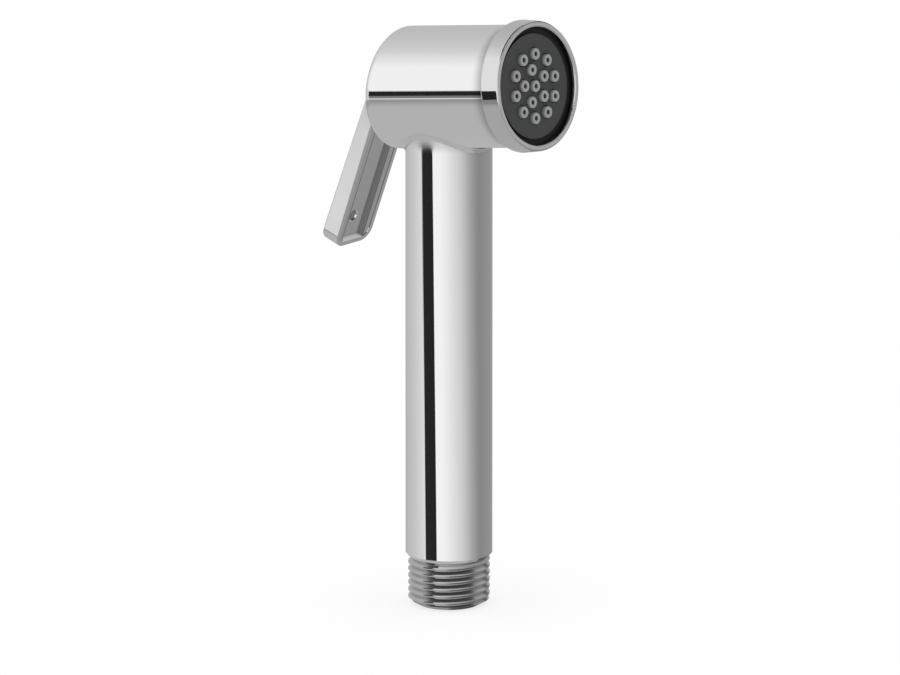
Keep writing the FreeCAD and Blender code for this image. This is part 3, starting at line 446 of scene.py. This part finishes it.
# Outline of a nozzle, as shares of nozzle_radius and nozzle_reach, from the middle of its foot up the
# outside, over the dished tip and down the bore
nozzle_outline = ((0.0, 0.14), (1.0, 0.14), (1.0, 0.26), (0.925, 0.74), (0.875, 0.925), (0.85, 0.962),
                  (0.81, 0.987), (0.76, 0.998), (0.69, 1.0), (0.6, 0.993), (0.5, 0.98), (0.42, 0.966),
                  (0.37, 0.945), (0.345, 0.91), (0.33, 0.8), (0.33, 0.45), (0.0, 0.45))
nozzle_sides = 32
mat_sides = 96
weld_distance = 0.000005
silicone_tone = (0.37, 0.38, 0.375)
silicone = moulding("grey silicone", silicone_tone, roughness=0.42, grain_size=0.0002,
                    grain_depth=0.000004, clouds=0.12, shade_least=0.3)


def nozzle_mat_tree(labels):
    """Geometry nodes: nozzles turned from an outline, in two circles and the middle of a disc."""
    tree, add, given = geometry_tree("nozzle mat", labels)

    def outline_curve(share, column):
        """Value of one column of the outline at a share of its length."""
        node = add("ShaderNodeFloatCurve", {"Value": share})
        points = node.mapping.curves[0].points
        last = len(nozzle_outline) - 1
        for index in range(1, last):
            points.new(index / last, nozzle_outline[index][column])
        points[0].location = (0, nozzle_outline[0][column])
        points[last].location = (1, nozzle_outline[last][column])
        for point in points:
            point.handle_type = "VECTOR"
        node.mapping.update()
        return node.outputs["Value"]

    # A square sheet, one unit wide, is wrapped round the nozzle's axis along X and follows the outline
    # along Y
    grid = add("GeometryNodeMeshGrid", {"Size X": 1, "Size Y": 1, "Vertices X": nozzle_sides + 1,
                                        "Vertices Y": len(nozzle_outline)})
    corner = add("GeometryNodeInputPosition").outputs["Position"]
    sheet = add("ShaderNodeSeparateXYZ", {"Vector": corner}).outputs
    angle = arithmetic(add, "MULTIPLY", arithmetic(add, "ADD", sheet["X"], 0.5), 2 * math.pi)
    share = arithmetic(add, "ADD", sheet["Y"], 0.5)
    radius = arithmetic(add, "MULTIPLY", outline_curve(share, 0), given["Nozzle radius"])
    height = arithmetic(add, "MULTIPLY", outline_curve(share, 1), given["Nozzle reach"])
    turned = add("ShaderNodeCombineXYZ", {
        "X": arithmetic(add, "MULTIPLY", radius, arithmetic(add, "COSINE", angle)),
        "Y": arithmetic(add, "MULTIPLY", radius, arithmetic(add, "SINE", angle)),
        "Z": height})
    shaped = add("GeometryNodeSetPosition", {"Geometry": grid.outputs["Mesh"],
                                             "Position": turned.outputs["Vector"]})
    closed = add("GeometryNodeMergeByDistance", {"Geometry": shaped.outputs["Geometry"],
                                                 "Distance": weld_distance})
    nozzle = add("GeometryNodeSetShadeSmooth", {"Geometry": closed.outputs["Geometry"]})

    # The inner circle's nozzles stand between two of the outer circle's
    inner_start = arithmetic(add, "ADD", given["Pattern turn"], math.radians(180 / outer_count))
    circles = (("Outer circle", outer_count, given["Pattern turn"]),
               ("Inner circle", inner_count, inner_start))
    places = []
    for label, count, start in circles:
        circle = add("GeometryNodeMeshCircle", {"Vertices": count, "Radius": given[label]})
        spin = add("ShaderNodeCombineXYZ", {"Z": start})
        placed = add("GeometryNodeTransform", {"Geometry": circle.outputs["Mesh"],
                                               "Rotation": spin.outputs["Vector"]})
        places.append(placed.outputs["Geometry"])
    places.append(add("GeometryNodePoints", {"Count": 1}).outputs[0])
    pattern = add("GeometryNodeJoinGeometry", {"Geometry": places})
    stood = add("GeometryNodeInstanceOnPoints", {"Points": pattern.outputs["Geometry"],
                                                 "Instance": nozzle.outputs["Geometry"]})

    disc = add("GeometryNodeMeshCylinder", {"Vertices": mat_sides, "Radius": given["Mat radius"],
                                            "Depth": given["Mat thickness"]})
    half = add("ShaderNodeCombineXYZ", {"Z": arithmetic(add, "DIVIDE", given["Mat thickness"], 2.0)})
    raised = add("GeometryNodeTransform", {"Geometry": disc.outputs["Mesh"],
                                           "Translation": half.outputs["Vector"]})
    whole = add("GeometryNodeJoinGeometry", {"Geometry": [stood.outputs["Instances"],
                                                          raised.outputs["Geometry"]]})
    real = add("GeometryNodeRealizeInstances", {"Geometry": whole.outputs["Geometry"]})
    skinned = add("GeometryNodeSetMaterial", {"Geometry": real.outputs["Geometry"],
                                              "Material": silicone})
    add("NodeGroupOutput", {"Geometry": skinned.outputs["Geometry"]})
    return tree


spray_nozzles = grown_piece("spray_nozzles", nozzle_mat_tree, {
    "Outer circle": outer_circle,
    "Inner circle": inner_circle,
    "Pattern turn": pattern_turn,
    "Mat radius": mat_radius,
    "Mat thickness": mat_thickness,
    "Nozzle radius": nozzle_radius,
    "Nozzle reach": nozzle_reach,
}, along=mat_rear)
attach(spray_nozzles, "spray_body")
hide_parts("nozzle_mat")

dress(["distributor"], white_acetal)
dress(["face_gasket"], seal_rubber)
# The flange stands a little behind the plate's front, and painted shade darkens it there, with anything
# else of the plate that lies as far back
flange_shade_start = 0.0278
flange_shade_end = 0.0273
flange_painted_shade = shade_on_axis(flange_shade_start, flange_shade_end, least=0.12)
plate_tone = (0.06, 0.062, 0.061)
dress(["face_plate"], moulding("matt black plate", plate_tone, roughness=0.55, grain_size=0.00022,
                               grain_depth=0.000008, clouds=0.12, specular=0.3, shade_least=0.5,
                               masks=(flange_painted_shade,)))


# Front ring: turned brass, polished and chrome plated, screwed over the barrel's mouth until it
# clamps the plate's flange.
# The ring's chrome is darker than the body's: painted shade that keeps the ring darker than the barrel
ring_shaded_tone = (0.73, 0.735, 0.73)
dress(["front_ring"], chrome_plate("ring chrome", ring_shaded_tone, roughness=0.035, hairlines=0.03,
                                   shade_reach=0.003, shade_least=0.5))


# Lever: the nose, the hinge and the channel are one satin grey core, and a chrome shell covers its
# outside. One small screw in the channel holds the shell. It swings on a steel pin in two black lugs.
pin_axis = Vector((0, 1, 0))


def channel_edge_shade_group():
    """Painted shade: a mask that darkens a thin line along each of the channel's two top edges."""
    add, given, put_out = shader_group("channel", {
        "Edge": 0.0042, "Edge width": 0.0005, "Edge least": 0.3})
    from_middle = arithmetic(add, "ABSOLUTE", along_axis(add, pin_axis))
    off_edge = arithmetic(add, "SUBTRACT", from_middle, given["Edge"])
    return put_out(Open=ramp(add, arithmetic(add, "ABSOLUTE", off_edge), 0.0, given["Edge width"],
                             start=given["Edge least"]))


lug_tone = (0.035, 0.035, 0.036)
dress(["lever_carrier"], moulding("black acetal", lug_tone, roughness=0.4, grain_size=0.0004,
                                  grain_depth=0.000005, clouds=0.15))
dress(["pivot_pin"], turned_metal("pin steel", steel_tone, pin_axis, roughness=0.12, spacing=0.00008))
core_tone = (0.79, 0.795, 0.79)
# Painted shade along the channel's top edges
dress(["lever_core"], chrome_plate("satin grey plate", core_tone, roughness=0.2, smudge=0.06,
                                   hairlines=0.05, ripple=0.4, shade_reach=0.0012, shade_least=0.8,
                                   masks=((channel_edge_shade_group(), {}),)))
dress(["lever_cap"], chrome_plate("lever chrome", chrome_tone, roughness=0.04, shade_reach=0.0015,
                                  shade_least=0.5))
screw_tone = (0.4, 0.4, 0.39)
dress(["lever_screw"], turned_metal("screw steel", screw_tone, pin_axis, roughness=0.25))


# Studio: the spray stands on its inlet on a pale floor, in soft light. The metal mirrors a white room
# with a dark flag low on the camera's left, grey cards on the right, a grey table and a dark ceiling.
# Directions in the room are given in degrees round, and in height from -1, down, to 1, up.
wall_start = -180
wall_end = 180
lower_walls = ((-180, 0.57), (-158, 0.64), (-131, 0.77), (-98, 1.0), (-78, 1.0), (-62, 0.905),
               (-46, 0.80), (-30, 0.70), (-14, 0.57), (3, 0.41), (12, 0.36), (22, 0.30), (32, 0.27),
               (47, 0.28), (64, 0.30), (88, 0.32), (130, 0.42), (168, 0.55), (180, 0.57))
upper_walls = ((-180, 0.66), (-170, 0.70), (-154, 0.84), (-143, 0.98), (-60, 1.0), (0, 0.75),
               (60, 0.5), (132, 0.54), (159, 0.60), (180, 0.66))
# Heights between which one thing in the room gives way to the next
wall_change = (-0.07, -0.03)
table_edge = (-0.275, -0.268)
table_fade = (-0.48, -0.27)
table_near = 0.49
table_far = 0.31
# Cards: from and to in degrees round, from and to in height, grey level, soft edge
cards = (
    (20, 115, -0.90, -0.30, 0.34, 0.03),
    (100, 128, -0.75, -0.40, 0.10, 0.02),
    (-190, 190, 0.78, 1.20, 0.08, 0.02),
    (-126.9, -96.5, -0.36, -0.045, 0.02, 0.004),
    (-140, -126.9, -0.19, -0.072, 0.02, 0.004),
    (-129.4, -126.9, -0.246, -0.19, 0.2, 0.004),
    (-126.9, -112, -0.36, -0.262, 0.3, 0.004),
    (0, 110, 0.20, 0.50, 0.12, 0.03),
    (30, 70, -0.15, 0.12, 0.5, 0.03),
)
plain_light = 0.75


def room_light():
    """World: white for the camera, the room in reflections, plain light for the rest."""
    world = bpy.data.worlds.new("studio room")
    bpy.context.scene.world = world
    world.use_nodes = True
    add = node_filler(world)
    direction = add("ShaderNodeTexCoord").outputs["Generated"]
    way = add("ShaderNodeSeparateXYZ", {"Vector": direction}).outputs
    height = way["Z"]
    angle = arithmetic(add, "ARCTAN2", way["Y"], way["X"])
    share = ramp(add, angle, math.radians(wall_start), math.radians(wall_end), smooth=False)

    def walls(stops):
        """Grey levels round the room."""
        shader = add("ShaderNodeValToRGB", {"Fac": share})
        elements = shader.color_ramp.elements
        elements.remove(elements[1])
        for number, (degrees, level) in enumerate(stops):
            place = (degrees - wall_start) / (wall_end - wall_start)
            stop = elements[0] if number == 0 else elements.new(place)
            stop.position = place
            stop.color = (level, level, level, 1)
        return shader.outputs["Color"]

    def blend(mask, first, second):
        """First where the mask is 0, second where it is 1. Each is a grey level or a colour socket."""
        colors = [(value, value, value, 1) if isinstance(value, float) else value
                  for value in (first, second)]
        return add("ShaderNodeMix", {0: mask, 6: colors[0], 7: colors[1]}, data_type="RGBA").outputs[2]

    def window(source, low, high, edge):
        """1 between low and high, with soft edges."""
        rise = ramp(add, source, low - edge, low + edge)
        past = ramp(add, source, high - edge, high + edge)
        return arithmetic(add, "MULTIPLY", rise, arithmetic(add, "SUBTRACT", 1.0, past))

    room = blend(ramp(add, height, *wall_change), walls(lower_walls), walls(upper_walls))
    table = blend(ramp(add, height, *table_fade), table_near, table_far)
    room = blend(ramp(add, height, *table_edge), table, room)
    for left, right, low, high, level, edge in cards:
        across = window(angle, math.radians(left), math.radians(right), edge)
        mask = arithmetic(add, "MULTIPLY", across, window(height, low, high, edge))
        room = blend(mask, room, level)

    seen = add("ShaderNodeBackground", {"Color": (1, 1, 1, 1)})
    mirrored = add("ShaderNodeBackground", {"Color": room})
    plain = add("ShaderNodeBackground", {"Color": (1, 1, 1, 1), "Strength": plain_light})
    ray = add("ShaderNodeLightPath").outputs
    lit = add("ShaderNodeMixShader", {0: ray["Is Glossy Ray"], 1: plain.outputs[0],
                                      2: mirrored.outputs[0]})
    shown = add("ShaderNodeMixShader", {0: ray["Is Camera Ray"], 1: lit.outputs[0], 2: seen.outputs[0]})
    add("ShaderNodeOutputWorld", {"Surface": shown.outputs[0]})


room_light()

floor_half = 12.0
floor_shade = 0.36
# Light that the floor gives where nothing shades it, a touch over white so that no grain shows
floor_white = 1.004
floor_corners = [(x * floor_half, y * floor_half, 0) for x, y in ((-1, -1), (1, -1), (1, 1), (-1, 1))]
floor_mesh = bpy.data.meshes.new("floor")
floor_mesh.from_pydata(floor_corners, [], [(0, 1, 2, 3)])
floor = bpy.data.objects.new("floor", floor_mesh)
bpy.context.scene.collection.objects.link(floor)
floor.visible_glossy = False
floor_paint, add_floor = new_material("pale floor")
matt = add_floor("ShaderNodeBsdfDiffuse", {"Color": (floor_shade, floor_shade, floor_shade, 1)})
glow = add_floor("ShaderNodeEmission", {"Strength": floor_white - floor_shade * plain_light})
both = add_floor("ShaderNodeAddShader", {0: matt.outputs[0], 1: glow.outputs[0]})
add_floor("ShaderNodeOutputMaterial", {"Surface": both.outputs[0]})
floor_mesh.materials.append(floor_paint)


# Camera: a long lens 38.35 degrees round from the side and 13.68 degrees up, looking at the middle of
# the handle.
turn = math.radians(38.35)
lift = math.radians(13.68)
distance = 6.0
view_width = 0.23047
handle_middle = Vector((0, 0, 0.075))
shift_aside = 0.000259
shift_down = 0.004807
aside = Vector((math.cos(turn), math.sin(turn), 0))
upward = Vector((-math.sin(turn) * math.sin(lift), math.cos(turn) * math.sin(lift), math.cos(lift)))
back = Vector((math.sin(turn) * math.cos(lift), -math.cos(turn) * math.cos(lift), math.sin(lift)))
camera_data = bpy.data.cameras.new("camera")
camera_data.lens = distance / view_width * camera_data.sensor_width
camera = bpy.data.objects.new("camera", camera_data)
camera.location = handle_middle + aside * shift_aside - upward * shift_down + back * distance
camera.rotation_mode = "QUATERNION"
camera.rotation_quaternion = back.to_track_quat("Z", "Y")
bpy.context.scene.collection.objects.link(camera)
bpy.context.scene.camera = camera
bpy.context.scene.view_settings.view_transform = "Standard"
